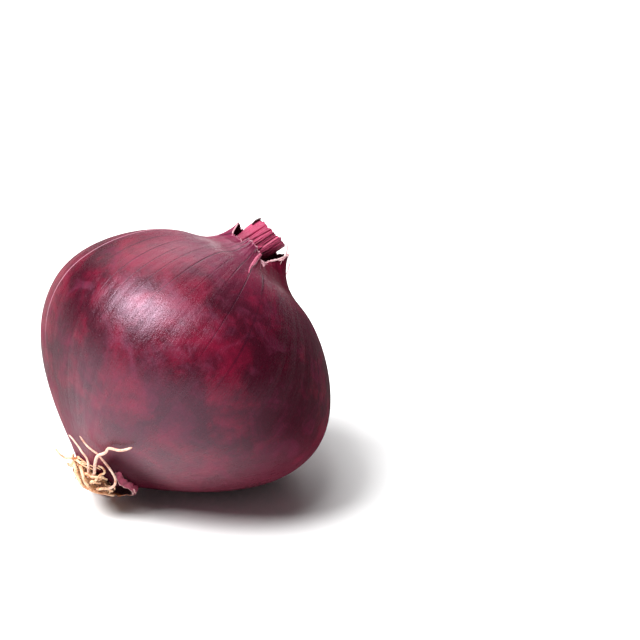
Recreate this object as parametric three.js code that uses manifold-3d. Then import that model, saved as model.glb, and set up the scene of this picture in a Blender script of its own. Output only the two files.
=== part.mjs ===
// A red onion lying on its belly: root end low at -X, cut neck high at +X.
// Millimetres, +Z up. The origin is the middle of the small flat spot that the bulb rests on.
//
// The onion has its own frame: z runs along its axis from the roots to the neck, the widest
// ring is at z = 0, and -y is its front, the side with the torn collar and the longest roots.

import * as THREE from 'three';
import { mergeVertices } from 'three/addons/utils/BufferGeometryUtils.js';
import Module from 'manifold-3d';

const wasm = await Module();
wasm.setup();

const { degToRad } = THREE.MathUtils;

// How the onion lies.
const axisTilt = degToRad(46); // its axis from upright, towards +X
const axisRoll = degToRad(-47); // its front turned about its axis
const ringHeight = 35.4; // middle of the widest ring above the surface
const ringSetback = 7.7; // and how far it is from the middle of the flat spot, towards -X
const ringShift = 0.6; // and towards -Y

// The bulb, as radius and height along its axis.
const ringRadius = 42;
const rootDepth = 38.6; // widest ring to root end
const rootEndRadius = 6.6;
const shoulderHeight = 28.8; // where the shoulder turns up into the neck
const shoulderRadius = 17.9;
const collarHeight = 39; // torn rim of the outer skin
const collarRadius = 8.2;
const collarWall = 0.9;
const collarDepth = 7; // rim down to the floor of the hollow round the stub
const rootSway = 3.5; // how far the root end sits to the side of the axis
const neckSway = 1;

// Handles of the bulb's curves, as shares of the heights and radii above.
const rootHandle = 0.93; // how straight the skin leaves the root end
const flankHandle = 0.63; // how full it is below the widest ring
const domeHandle = 0.42; // and above it
const shoulderReach = 1.58;
const shoulderRise = 0.92;
const throatReach = 0.64;
const throatRise = 1.05;
const collarHandle = 0.93; // how straight it runs into the rim

// The V-shaped tear in the front of the collar.
const tearDepth = 4.6;
const tearAngle = degToRad(-72); // about the axis, from +x
const tearWidth = degToRad(34);
const lipDrop = 2; // the front of the rim is this much lower than its back

// The dried leaf bases that stand in the collar.
const stubLength = 8.9;
const stubWidth = 8.8;
const stubThickness = 7;
const stubLean = degToRad(22); // towards +x
const stubSide = -3.2; // where its foot stands, off the axis
const stubDepth = 0.4;
const stubLift = 1.8; // clear of the hollow's floor
const stubGrooves = 7;
const stubGrooveDepth = 0.08; // as a share of the radius

// A dark sliver of leaf on the stub's upper edge, near its cut end.
const sliverThickness = 0.6;
const sliverWidth = 1.6;
const sliverLength = 2.6;
const sliverHeight = 6.9; // up the stub

// The corky plate that the roots grow from.
const plateRadius = 6.2;
const plateDepth = 4;
const gap = 0.3; // clear space between pieces that touch

// The foot of an outer skin, torn into a skirt round one side of the plate.
const skirtTopRadius = 11.3;
const skirtFootRadius = 9.5;
const skirtWall = 0.9;
const skirtStart = degToRad(-60); // about the axis, from +x
const skirtEnd = degToRad(100);
const skirtTop = 2.2; // above the crown
const skirtFrontFoot = 0.6;
const skirtBackFoot = -3.9;

const finishes = {
  skin: { color: 0x6b1a33, roughness: 0.42 },
  stub: { color: 0xb8385f, roughness: 0.7 },
  flake: { color: 0x4a1526, roughness: 0.7 },
  fold: { color: 0xa84a68, roughness: 0.6 },
  thread: { color: 0xe8ccd0, roughness: 0.8 },
  plate: { color: 0xb98558, roughness: 0.9 },
  root: { color: 0xd8a878, roughness: 0.8 },
};

const part = new THREE.Group();
const onion = new THREE.Group();
onion.rotation.set(0, axisTilt, axisRoll, 'YXZ');
onion.position.set(-ringSetback, -ringShift, ringHeight);
onion.updateMatrix();
part.add(onion);

// The crown is where the roots grow: the middle of the bulb's root end.
const crown = new THREE.Group();
crown.position.set(-rootSway, 0, -rootDepth);
onion.add(crown);

function addMesh(parent, name, geometry, finish) {
  const material = new THREE.MeshStandardMaterial({ metalness: 0, ...finishes[finish] });
  const mesh = new THREE.Mesh(geometry, material);
  mesh.name = name;
  parent.add(mesh);
  return mesh;
}

// Moves every vertex of a geometry by a function of its place.
function reshape(geometry, move) {
  const position = geometry.attributes.position;
  const point = new THREE.Vector3();
  for (let i = 0; i < position.count; i += 1) {
    point.fromBufferAttribute(position, i);
    move(point);
    position.setXYZ(i, point.x, point.y, point.z);
  }
  return geometry;
}

// A closed geometry with shared vertices and no collapsed triangles.
function weld(geometry) {
  const bare = geometry.clone();
  bare.deleteAttribute('normal');
  bare.deleteAttribute('uv');
  const merged = mergeVertices(bare, 1e-4);
  const index = merged.index.array;
  const kept = [];
  for (let i = 0; i < index.length; i += 3) {
    const [a, b, c] = [index[i], index[i + 1], index[i + 2]];
    if (a !== b && b !== c && c !== a) kept.push(a, b, c);
  }
  merged.setIndex(kept);
  return merged;
}

function toManifold(geometry) {
  const welded = weld(geometry);
  const vertProperties = new Float32Array(welded.attributes.position.array);
  const triVerts = new Uint32Array(welded.index.array);
  return new wasm.Manifold(new wasm.Mesh({ numProp: 3, vertProperties, triVerts }));
}

function fromManifold(solid) {
  const mesh = solid.getMesh();
  const geometry = new THREE.BufferGeometry();
  geometry.setAttribute('position', new THREE.BufferAttribute(mesh.vertProperties, 3));
  geometry.setIndex(new THREE.BufferAttribute(mesh.triVerts, 1));
  return geometry;
}

// A profile of (radius, height) points turned about the z axis.
function turned(points, segments) {
  return new THREE.LatheGeometry(points, segments).rotateX(Math.PI / 2);
}

// The bulb's axis is bowed: both ends sit to the -x side of its middle.
function sway(z) {
  const share = z < 0 ? z / rootDepth : z / collarHeight;
  return -(z < 0 ? rootSway : neckSway) * share * share;
}

// Height of the collar's torn rim at an angle about the axis.
function rimHeight(angle) {
  const fromTear = Math.atan2(Math.sin(angle - tearAngle), Math.cos(angle - tearAngle));
  const tear = tearDepth * Math.exp(-((fromTear / tearWidth) ** 2));
  const front = lipDrop * Math.max(0, -Math.sin(angle));
  return collarHeight - tear - front;
}

function bulbProfile() {
  const hollowRadius = collarRadius - collarWall;
  const hollowFloor = collarHeight - collarDepth;
  const path = new THREE.Path();
  path.moveTo(0, -rootDepth);
  path.lineTo(rootEndRadius, -rootDepth);
  path.bezierCurveTo(
    rootEndRadius, -rootHandle * rootDepth,
    ringRadius, -flankHandle * rootDepth,
    ringRadius, 0,
  );
  path.bezierCurveTo(
    ringRadius, domeHandle * shoulderHeight,
    shoulderReach * shoulderRadius, shoulderRise * shoulderHeight,
    shoulderRadius, shoulderHeight,
  );
  path.bezierCurveTo(
    throatReach * shoulderRadius, throatRise * shoulderHeight,
    collarRadius, collarHandle * collarHeight,
    collarRadius, collarHeight,
  );
  path.lineTo(hollowRadius, collarHeight);
  path.lineTo(hollowRadius, hollowFloor);
  path.lineTo(0, hollowFloor);
  return path.getPoints(12);
}

// The bulb is turned, its rim is torn, its ends sway, and it is cut flat where it rests.
function bulb() {
  const tearFoot = collarHeight - collarDepth + 1;
  const geometry = reshape(turned(bulbProfile(), 56), (point) => {
    if (point.z > tearFoot) {
      const share = (point.z - tearFoot) / (collarHeight - tearFoot);
      const rim = rimHeight(Math.atan2(point.y, point.x));
      point.z = tearFoot + share * (rim - tearFoot);
    }
    point.x += sway(point.z);
  });
  geometry.applyMatrix4(onion.matrix);
  const side = 4 * ringRadius;
  const floor = new THREE.BoxGeometry(side, side, side).translate(0, 0, -side / 2);
  return fromManifold(toManifold(geometry).subtract(toManifold(floor)));
}

// A bundle of dried leaf bases: an oval outline with shallow grooves, leaning in the collar.
function neckStub() {
  const points = [];
  const corners = 6 * stubGrooves;
  for (let i = 0; i < corners; i += 1) {
    const angle = (2 * Math.PI * i) / corners;
    const swell = 1 + stubGrooveDepth * Math.cos(stubGrooves * angle);
    const x = 0.5 * stubWidth * swell * Math.cos(angle);
    const y = 0.5 * stubThickness * swell * Math.sin(angle);
    points.push(new THREE.Vector2(x, y));
  }
  const outline = new THREE.Shape(points);
  return new THREE.ExtrudeGeometry(outline, { depth: stubLength, bevelEnabled: false });
}

// The plate is a low dome that faces away from the bulb.
function rootPlate() {
  const path = new THREE.Path();
  path.moveTo(0, -plateDepth - gap);
  path.bezierCurveTo(
    0.6 * plateRadius, -plateDepth - gap,
    plateRadius, -0.75 * plateDepth,
    plateRadius, -0.3 * plateDepth,
  );
  path.lineTo(0.97 * plateRadius, -gap);
  path.lineTo(0, -gap);
  return turned(path.getPoints(8), 32);
}

// A curved sheet round the plate, short at the front, deeper at the back and drawn in at its foot.
function skirt() {
  const { lerp, smoothstep } = THREE.MathUtils;
  const sheet = new THREE.BoxGeometry(1, 1, 1, 28, 5, 1);
  return reshape(sheet, (point) => {
    const around = point.x + 0.5;
    const down = 0.5 - point.y;
    const angle = lerp(skirtStart, skirtEnd, around);
    const foot = lerp(skirtFrontFoot, skirtBackFoot, smoothstep(around, 0.3, 0.85));
    const radius = lerp(skirtTopRadius, skirtFootRadius, down * down) + skirtWall * point.z;
    point.z = lerp(skirtTop, foot, down);
    point.x = radius * Math.cos(angle);
    point.y = radius * Math.sin(angle);
  });
}

// A root or a fibre: an even round strand along a smooth route.
const strandSides = 8;
const strandSteps = 4; // for each point of the route

function strand(route, radius) {
  const ring = [];
  for (let i = 0; i < strandSides; i += 1) {
    const angle = (2 * Math.PI * i) / strandSides;
    ring.push(new THREE.Vector2(radius * Math.cos(angle), radius * Math.sin(angle)));
  }
  const points = route.map(([x, y, z]) => new THREE.Vector3(x, y, z));
  const extrudePath = new THREE.CatmullRomCurve3(points);
  const steps = strandSteps * (route.length - 1);
  const outline = new THREE.Shape(ring);
  return new THREE.ExtrudeGeometry(outline, { steps, extrudePath, bevelEnabled: false });
}

// Roots seen from the front, each from the plate outwards, in the crown's frame.
const frontRoots = [
  // a long one out to the side, with a dip in it
  {
    radius: 0.5,
    route: [[-8.2, -3.9, -0.8], [-9.3, -2.9, -1.4], [-11.3, -2.7, -1.2], [-12.9, -1.8, -0.6]],
  },
  // two long ones that lie up over the bulb
  {
    radius: 0.5,
    route: [
      [-2, -8, -1.1], [-3, -9.3, 0.3], [-4.4, -9.6, 1.3],
      [-6.6, -9.4, 2.2], [-9.2, -8.7, 3.3], [-11.8, -7.8, 4],
    ],
  },
  {
    radius: 0.5,
    route: [
      [5.6, -8, -1.3], [5.7, -9.9, -0.2], [4.6, -11.3, 1.2], [2.1, -12.2, 2.3], [-0.5, -13.2, 3.1],
      [-2.7, -13.9, 3.6], [-6.1, -13.6, 3.9], [-9.1, -13.8, 5],
    ],
  },
  // the thickest, which stands off over the bulb
  {
    radius: 0.6,
    route: [
      [-0.4, -8.6, -0.6], [-1.4, -11.4, 0.8], [-2.2, -15.4, 2.9],
      [-0.9, -17.2, 4.8], [-0.6, -19, 6.2], [2, -20.8, 7.2], [4.2, -23.6, 9.4],
    ],
  },
  // short curled ones on the face of the plate
  {
    radius: 0.4,
    route: [
      [0.9, -9.9, -1.5], [1.2, -10.3, -0.6], [1.8, -10.9, 0.6], [0.9, -12.2, 1.3], [-0.6, -12.9, 1.2],
    ],
  },
  { radius: 0.45, route: [[-2.2, -7.4, -2.1], [-0.2, -8.6, -1.9], [1.8, -8.6, -0.6], [3.6, -7.6, -0.3]] },
  { radius: 0.45, route: [[0.3, -7.9, -2.9], [1.5, -8.4, -2.5], [2.6, -8.3, -2]] },
  { radius: 0.6, route: [[-6.6, -3.2, -1.2], [-5.4, -4.8, -2.3], [-3.7, -5.2, -3.7], [-1.8, -5.1, -4.9]] },
  { radius: 0.5, route: [[-4.2, -6.6, -1.4], [-2.8, -7.4, -2.7], [-1.3, -7, -3.9], [0.3, -6.4, -4.6]] },
  { radius: 0.45, route: [[2.8, -6.9, -3.6], [3.4, -7.9, -3.1], [4.9, -7, -2.2], [6.3, -5.3, -1.9]] },
  // one that runs along under the plate to the flap
  {
    radius: 0.5,
    route: [[-1.4, -3.2, -4.9], [0.8, -4, -4.8], [3.2, -4.3, -4.3], [5.2, -3.6, -3.4], [7.3, -1.8, -2.4]],
  },
];

// Short roots round the back of the plate. Each leaves its edge, spreads and curls.
const backRoots = 4;
const backStart = degToRad(104); // the first one, about the axis from +x
const backSpread = degToRad(36); // from the first to the last
const backRadius = 0.5;
const backClearance = 0.9; // from the plate's edge
const backReach = 2.2;
const backUneven = 0.3; // how much their lengths differ, as a share
const backCurl = degToRad(12);
const backTop = 1.4; // below the crown
const backDrop = 0.6; // from foot to tip
const backWave = 0.3;

function backRoute(i) {
  const angle = backStart + (i * backSpread) / (backRoots - 1);
  const reach = backReach * (1 + backUneven * Math.sin(2.4 * i));
  const curl = backCurl * Math.sin(2.6 * i + 0.5);
  const route = [];
  for (let step = 0; step <= 3; step += 1) {
    const share = step / 3;
    const radius = plateRadius + backClearance + reach * share;
    const turn = angle + 0.5 * curl * share * share;
    const drop = backTop + backDrop * share + backWave * Math.sin(3 * share + i);
    route.push([radius * Math.cos(turn), radius * Math.sin(turn), -drop]);
  }
  return route;
}

// Fibres of torn skin at the rim of the collar.
const threads = [
  { radius: 0.3, route: [[6.3, -4.5, 38], [5.9, -4.8, 39.6], [5, -4.8, 41.4], [4.4, -4.7, 43.2]] },
  { radius: 0.3, route: [[8.6, -3.4, 36.6], [9.1, -4, 35.2], [9.4, -4.3, 33.8]] },
  { radius: 0.3, route: [[3.9, -9.6, 33.8], [5.1, -8.8, 35.2], [6.2, -7.4, 37], [7.2, -5.8, 38.8]] },
];

// The curled edge of the tear, down the front of the neck.
const fold = {
  radius: 0.6,
  route: [[0.7, -11.8, 33.5], [0.5, -13.2, 32.2], [0.6, -15.4, 30.9], [0.4, -19, 29.6], [0.6, -23, 28.1]],
};

addMesh(part, 'bulb', bulb(), 'skin');

const collarHollow = new THREE.Group();
collarHollow.position.set(stubSide, stubDepth, collarHeight - collarDepth + stubLift);
collarHollow.rotation.y = stubLean;
onion.add(collarHollow);
addMesh(collarHollow, 'neck_stub', neckStub(), 'stub');

const sliver = new THREE.BoxGeometry(sliverThickness, sliverWidth, sliverLength);
const sliverSide = 0.5 * stubWidth * (1 + stubGrooveDepth) + gap + 0.5 * sliverThickness;
addMesh(collarHollow, 'stub_flake', sliver, 'flake').position.set(-sliverSide, 0, sliverHeight);

addMesh(onion, 'collar_fold', strand(fold.route, fold.radius), 'fold');

addMesh(crown, 'root_plate', rootPlate(), 'plate');

addMesh(crown, 'root_skirt', skirt(), 'skin');

const backStrands = Array.from({ length: backRoots }, (_, i) => {
  return { radius: backRadius, route: backRoute(i) };
});
[...frontRoots, ...backStrands].forEach(({ radius, route }, i) => {
  addMesh(crown, `root_${String(i + 1).padStart(2, '0')}`, strand(route, radius), 'root');
});

threads.forEach(({ radius, route }, i) => {
  addMesh(onion, `skin_thread_${i + 1}`, strand(route, radius), 'thread');
});

export default part;
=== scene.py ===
import math
import bpy
import numpy as np
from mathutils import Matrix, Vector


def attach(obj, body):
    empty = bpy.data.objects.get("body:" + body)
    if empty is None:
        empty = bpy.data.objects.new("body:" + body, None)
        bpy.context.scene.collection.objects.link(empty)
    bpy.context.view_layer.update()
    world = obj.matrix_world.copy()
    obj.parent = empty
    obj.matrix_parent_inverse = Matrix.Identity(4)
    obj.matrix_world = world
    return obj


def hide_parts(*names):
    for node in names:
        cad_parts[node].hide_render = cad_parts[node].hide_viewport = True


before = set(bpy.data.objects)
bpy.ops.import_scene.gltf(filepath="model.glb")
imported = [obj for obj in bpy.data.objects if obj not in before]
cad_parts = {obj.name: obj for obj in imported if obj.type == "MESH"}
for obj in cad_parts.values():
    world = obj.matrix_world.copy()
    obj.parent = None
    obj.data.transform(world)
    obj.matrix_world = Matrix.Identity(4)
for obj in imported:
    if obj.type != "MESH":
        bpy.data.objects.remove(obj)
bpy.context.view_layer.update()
print("frame loaded with", len(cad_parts), "nodes")

millimetre = 0.001  # in metres
anyPhase = 6.28  # a strand's waves start anywhere from 0 to this

# Lengths below are millimetres in the onion's own frame: z runs from the roots to the neck, the
# widest ring is at z = 0 and -y is the front. place() turns them into the row's metres.
lie = {
    "tilt": 46,  # the axis from upright, towards +X, in degrees
    "roll": -47,  # the front turned about the axis
    "ring": (-7.7, -0.6, 35.4),  # middle of the widest ring above the rest spot
    "crown": (-3.5, 0.0, -38.6),  # where the roots grow, in the onion's frame
    "restSoftness": 0.3,  # how gently the skin turns up round the flat spot
}


def place(points, crown=False):
    # roll about z, then tilt about y, then move to the ring's middle
    x, y, z = np.moveaxis(np.asarray(points, float), -1, 0)
    if crown:
        x, y, z = x + lie["crown"][0], y + lie["crown"][1], z + lie["crown"][2]
    roll, tilt = math.radians(lie["roll"]), math.radians(lie["tilt"])
    u = x * math.cos(roll) - y * math.sin(roll)
    v = x * math.sin(roll) + y * math.cos(roll)
    across = u * math.cos(tilt) + z * math.sin(tilt)
    up = z * math.cos(tilt) - u * math.sin(tilt)
    turned = np.stack([across, v, up], -1) + np.array(lie["ring"])
    return turned * millimetre


def smooth(low, high, value):
    # 0 at low, 1 at high, 3s^2 - 2s^3 between and level beyond
    share = np.clip((value - low) / (high - low), 0, 1)
    return share * share * (3 - 2 * share)


def ripples(angle, along, counts, strengths, drift, seed):
    # a sum of waves round the axis, each with its own phase, that drift slowly along it
    rng = np.random.default_rng(seed)
    total = np.zeros(np.broadcast(angle, along).shape)
    for count, strength in zip(counts, strengths):
        phase, slide = rng.uniform(0, 2 * np.pi), rng.normal(0, drift)
        total = total + strength * np.cos(count * angle + phase + slide * along)
    return total


def meshFromGrid(name, points, closedAround=True, poles=(True, True), attributes=None):
    # points is copies x rows x columns x 3; columns run round a copy and rows along it.
    # A pole closes an end of each copy with a fan round the mean of its row.
    copies, rows, columns = points.shape[:3]
    r = np.arange(rows - 1)[:, None]
    c = np.arange(columns if closedAround else columns - 1)[None, :]
    a, b = r * columns + c, r * columns + (c + 1) % columns
    offsets = rows * columns * np.arange(copies)[:, None, None]
    quads = (np.stack([a, b, b + columns, a + columns], -1).reshape(-1, 4) + offsets).reshape(-1, 4)
    around = np.arange(columns)
    following = (around + 1) % columns
    tips, fans = [], []
    for row, wanted in zip((0, rows - 1), poles):
        if wanted:
            tip = copies * rows * columns + len(tips) * copies + np.arange(copies)[:, None]
            near, far = (following, around) if row == 0 else (around, following)
            start = row * columns + offsets[:, 0]
            fan = np.stack([start + near, start + far, tip + 0 * start + 0 * near], -1)
            fans.append(fan.reshape(-1, 3))
            tips.append(row)
    triangles = np.vstack(fans) if fans else np.zeros((0, 3), int)

    def flat(values):
        # every grid vertex, then the tips
        ends = [values[:, row].mean(1) for row in tips]
        return np.vstack([values.reshape(-1, values.shape[-1]), *ends]).astype(np.float32)

    corners = np.concatenate([quads.ravel(), triangles.ravel()]).astype(np.int32)
    sizes = np.concatenate([np.full(len(quads), 4), np.full(len(triangles), 3)])
    starts = np.concatenate([[0], np.cumsum(sizes)[:-1]]).astype(np.int32)
    verts = flat(points)
    mesh = bpy.data.meshes.new(name)
    mesh.vertices.add(len(verts))
    mesh.vertices.foreach_set("co", verts.ravel())
    mesh.loops.add(len(corners))
    mesh.loops.foreach_set("vertex_index", corners)
    mesh.polygons.add(len(sizes))
    mesh.polygons.foreach_set("loop_start", starts)
    mesh.update(calc_edges=True)
    mesh.polygons.foreach_set("use_smooth", np.ones(len(sizes), bool))
    for label, values in (attributes or {}).items():
        layer = mesh.attributes.new(label, "FLOAT_VECTOR", "POINT")
        layer.data.foreach_set("vector", flat(values).ravel())
    piece = bpy.data.objects.new(name, mesh)
    bpy.context.scene.collection.objects.link(piece)
    return piece


def smoothLine(route, rows):
    # Catmull-Rom: from b to c it is (2b + (c-a)s + (2a-5b+4c-d)s^2 + (3b-a-3c+d)s^3) / 2
    p = np.array(route, float)
    p = np.vstack([2 * p[0] - p[1], p, 2 * p[-1] - p[-2]])
    where = np.linspace(0, len(route) - 1, rows)
    k = np.minimum(where.astype(int), len(route) - 2)
    s = (where - k)[:, None]
    a, b, c, d = p[k], p[k + 1], p[k + 2], p[k + 3]
    bend = (2 * a - 5 * b + 4 * c - d) * s**2 + (3 * b - a - 3 * c + d) * s**3
    return (2 * b + (c - a) * s + bend) / 2


def unit(vectors):
    # each vector over its own length
    return vectors / np.linalg.norm(vectors, axis=-1, keepdims=True)


def tubeGrid(lines, radius, sides):
    # a ring round each point of each line, square to it; radius is copies x rows
    ahead = unit(np.gradient(lines, axis=1))
    leastFollowed = np.abs(ahead).max(1).argmin(-1)
    side = unit(np.cross(ahead, np.eye(3)[leastFollowed][:, None, :]))
    other = np.cross(ahead, side)
    turn = np.linspace(0, 2 * np.pi, sides, endpoint=False)[:, None]
    ring = np.cos(turn) * side[:, :, None, :] + np.sin(turn) * other[:, :, None, :]
    return lines[:, :, None, :] + radius[:, :, None, None] * ring


def knobbly(share, radius, tipShare, knob, rng):
    # radius (1 - (1 - tipShare) s^1.2) (1 + knob sum of sin(phase + n s) / sqrt(n)), and past
    # s = 0.94 it rounds off as a quarter circle does
    waves = sum(np.sin(rng.uniform(0, anyPhase) + n * share) / n**0.5 for n in (9, 17, 29))
    taper = 1 - (1 - tipShare) * share**1.2
    tipStart = 0.94
    rounding = np.clip(1 - ((share - tipStart) / (1 - tipStart)).clip(0) ** 2, 0.05, 1) ** 0.5
    return radius * taper * (1 + knob * waves) * rounding


def adopt(piece, material, slot, *nodes):
    # gives a finished piece its material and its body and hides the CAD nodes it stands for; slot is not
    # used
    piece.data.materials.append(material)
    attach(piece, "root")
    if nodes:
        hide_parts(*nodes)
    return piece


def srgb(red, green, blue):
    # a colour as seen on a screen, 0 to 255, as the linear light that Cycles works in
    def linear(c):
        c = c / 255
        return c / 12.92 if c <= 0.04045 else ((c + 0.055) / 1.055) ** 2.4
    return (linear(red), linear(green), linear(blue), 1.0)


class Wire:
    # a node's output that can be used in sums: each operator adds one Math node
    def __init__(self, graph, socket):
        self.graph, self.socket = graph, socket

    def maths(self, operation, first, second):
        return self.graph.node("ShaderNodeMath", {"operation": operation}, {0: first, 1: second})

    def __add__(self, other):
        return self.maths("ADD", self, other)

    def __radd__(self, other):
        return self.maths("ADD", other, self)

    def __sub__(self, other):
        return self.maths("SUBTRACT", self, other)

    def __rsub__(self, other):
        return self.maths("SUBTRACT", other, self)

    def __mul__(self, other):
        return self.maths("MULTIPLY", self, other)

    def __rmul__(self, other):
        return self.maths("MULTIPLY", other, self)

    def __abs__(self):
        return self.maths("ABSOLUTE", self, 0.0)


class Graph:
    # one material's nodes
    def __init__(self, name):
        self.material = bpy.data.materials.new(name)
        self.material.use_nodes = True
        self.tree = self.material.node_tree
        self.tree.nodes.clear()

    def node(self, kind, settings=None, sockets=None, out=0):
        # settings are set first, then each socket takes a wire's link or a plain value
        made = self.tree.nodes.new(kind)
        for key, value in (settings or {}).items():
            setattr(made, key, value)
        for key, value in (sockets or {}).items():
            if isinstance(value, Wire):
                self.tree.links.new(value.socket, made.inputs[key])
            elif value is not None:
                made.inputs[key].default_value = value
        return Wire(self, made.outputs[out]) if made.outputs else made

    def millimetres(self):
        # the place on the piece
        metres = self.node("ShaderNodeTexCoord", out="Object")
        scaling = {0: metres, "Scale": 1 / millimetre}
        return self.node("ShaderNodeVectorMath", {"operation": "SCALE"}, scaling)

    def attribute(self, name):
        return self.node("ShaderNodeAttribute", {"attribute_name": name}, out="Vector")

    def parts(self, vector):
        # a vector's three numbers
        split = self.node("ShaderNodeSeparateXYZ", None, {0: vector}).socket.node
        return [Wire(self, out) for out in split.outputs]

    def stretch(self, vector, scale):
        return self.node("ShaderNodeMapping", None, {"Vector": vector, "Scale": scale})

    def noise(self, vector, size, detail=2.0, roughness=0.5, distortion=0.0):
        # size is the pattern's rough spacing in the vector's own units
        sockets = {"Vector": vector, "Scale": 1 / size, "Detail": detail, "Roughness": roughness}
        sockets["Distortion"] = distortion
        return self.node("ShaderNodeTexNoise", None, sockets)

    def between(self, value, low, high):
        # 0 at low, 1 at high, smooth between
        sockets = {"Value": value, "From Min": low, "From Max": high}
        return self.node("ShaderNodeMapRange", {"interpolation_type": "SMOOTHSTEP"}, sockets)

    def mix(self, share, first, second):
        # the first colour at a share of 0 and the second at 1
        settings = {"data_type": "RGBA"}
        return self.node("ShaderNodeMix", settings, {0: share, 6: first, 7: second}, out=2)

    def bump(self, height, depth, normal=None):
        # depth is in millimetres; a normal that is given is bumped again
        sockets = {"Height": height, "Distance": depth * millimetre, "Normal": normal}
        return self.node("ShaderNodeBump", None, sockets)

    def surface(self, colour, roughness, normal, constants=None):
        # the Principled shader; the other sockets take plain numbers
        sockets = {"Base Color": colour, "Roughness": roughness, "Normal": normal, **(constants or {})}
        return self.node("ShaderNodeBsdfPrincipled", None, sockets)

    def finish(self, surface):
        self.node("ShaderNodeOutputMaterial", None, {"Surface": surface})
        return self.material


# The bulb. Wavy things are given to ripples() as their counts round the axis, their strengths in
# millimetres, how they drift along the axis, and a seed.
bulbForm = {
    "ringRadius": 42.0, "rootDepth": 38.6, "rootEndRadius": 6.6,
    "shoulderHeight": 28.8, "shoulderRadius": 17.9,
    "collarHeight": 39.0, "collarRadius": 8.2, "collarWall": 0.45, "collarDepth": 7.0,
    # how far each curve of the outline holds its first direction, as shares of the sizes above
    "rootHold": 0.93, "flankHold": 0.63, "domeHold": 0.42, "throatHold": 0.93,
    "shoulderOut": 1.58, "shoulderUp": 0.92, "throatIn": 0.64, "throatUp": 1.05,
    "ease": 3.5,  # millimetres of outline that are averaged, so the neck turns up gently
    "rootSway": 3.5, "neckSway": 1.0,  # how far the ends stand off the axis
    # the torn rim: degrees about the axis and height, from the -x side round the front
    "rim": [(-180, 38.9), (-177, 38.7), (-171, 35.6), (-163, 34.7), (-147, 35.0), (-136, 34.6),
            (-126, 34.4), (-122, 35.5), (-119, 36.1), (-106, 35.5), (-96, 35.3), (-87, 34.6), (-81, 34.0),
            (-79, 31.6), (-74, 31.3), (-66, 32.8), (-50, 34.8), (-30, 36.6), (-24, 38.0), (-10, 38.9),
            (25, 39.1), (70, 38.4), (110, 39.2), (150, 38.5), (180, 38.9)],
    "teeth": [(13, 29, 47, 83), (0.1, 0.12, 0.12, 0.1), 0, 5],
    "folds": [(5, 9, 14, 23), (0.16, 0.12, 0.1, 0.06), 0.02, 11],
    "swells": [(2, 3, 5, 8), (0.2, 0.2, 0.12, 0.06), 0.04, 3],
    "swellsFrom": -37, "swellsFull": -25,  # heights where the root end's smooth skin starts to swell
    "foldsFrom": 18, "foldsFull": 36,  # heights where swells give way to folds
    "veins": 40, "veinRidge": 0.1,
    "veinWarp": [(1, 2, 3, 5, 9), (0.16, 0.1, 0.08, 0.05, 0.03), 0.012, 21],  # strengths in radians
    "lipIn": (0.3, 0.7, 1.0), "lipUp": (0.1, 0.1, -0.1),  # shares of the wall, and millimetres
    "liningRows": 14, "floorRows": 8, "floorHole": 0.08,
    # patches of skin: where an arc starts, is full, fades and ends, in degrees, and the heights
    "bareArc": (-87, -83, -30, -10), "bareHeight": (26.5, 29.5),
    # painted shadow: where the skin by the roots is darkened as painted shade of the root flap
    "driedArc": (-100, -84, 60, 100), "driedHeight": (-34, -29),
    "highlightLineAt": -160,  # degrees about the axis of a pale painted highlight line
    "columns": 480, "rows": 176, "crowding": 0.92,
}


def bezier(a, b, c, d, steps):
    # (1-s)^3 a + 3(1-s)^2 s b + 3(1-s) s^2 c + s^3 d
    s = np.linspace(0, 1, steps)[:, None]
    a, b, c, d = map(np.array, (a, b, c, d))
    return (1 - s) ** 3 * a + 3 * (1 - s) ** 2 * s * b + 3 * (1 - s) * s**2 * c + s**3 * d


def skinProfile(form):
    # three bezier curves, root end to ring, ring to shoulder and shoulder to rim, set out evenly
    # and averaged: the radius, the height and the length along the outline at each row
    ring, deep, foot = form["ringRadius"], form["rootDepth"], form["rootEndRadius"]
    high, wide = form["shoulderHeight"], form["shoulderRadius"]
    rim, neck = form["collarHeight"], form["collarRadius"]
    flank = bezier((foot, -deep), (foot, -form["rootHold"] * deep),
                   (ring, -form["flankHold"] * deep), (ring, 0), 200)
    dome = bezier((ring, 0), (ring, form["domeHold"] * high),
                  (form["shoulderOut"] * wide, form["shoulderUp"] * high), (wide, high), 200)
    throat = bezier((wide, high), (form["throatIn"] * wide, form["throatUp"] * high),
                    (neck, form["throatHold"] * rim), (neck, rim), 100)
    line = np.vstack([flank, dome[1:], throat[1:]])
    length = np.concatenate([[0], np.cumsum(np.hypot(*np.diff(line, axis=0).T))])
    steps = 800
    even = np.linspace(0, length[-1], steps)
    line = np.stack([np.interp(even, length, line[:, k]) for k in (0, 1)], -1)

    # a moving average, from the running total, whose span shrinks towards both ends
    reach = int(form["ease"] / length[-1] * steps)
    total = np.vstack([np.zeros((1, 2)), np.cumsum(line, 0)])
    i = np.arange(steps)
    span = np.minimum(reach, np.minimum(i, steps - 1 - i))
    line = (total[i + span + 1] - total[i - span]) / (2 * span + 1)[:, None]
    where = np.linspace(0, 1, form["rows"]) ** form["crowding"] * even[-1]
    return np.interp(where, even, line[:, 0]), np.interp(where, even, line[:, 1]), where


def degreesRound(angle):
    # an angle in radians as -180 to 180 degrees
    return np.degrees(np.angle(np.exp(1j * angle)))


def rimHeight(form, angle):
    # the torn rim runs straight between its corners, with ragged teeth on it
    corners = np.array(form["rim"], float)
    teeth = ripples(angle, 0, *form["teeth"])
    return np.interp(degreesRound(angle), corners[:, 0], corners[:, 1]) + teeth


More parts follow.
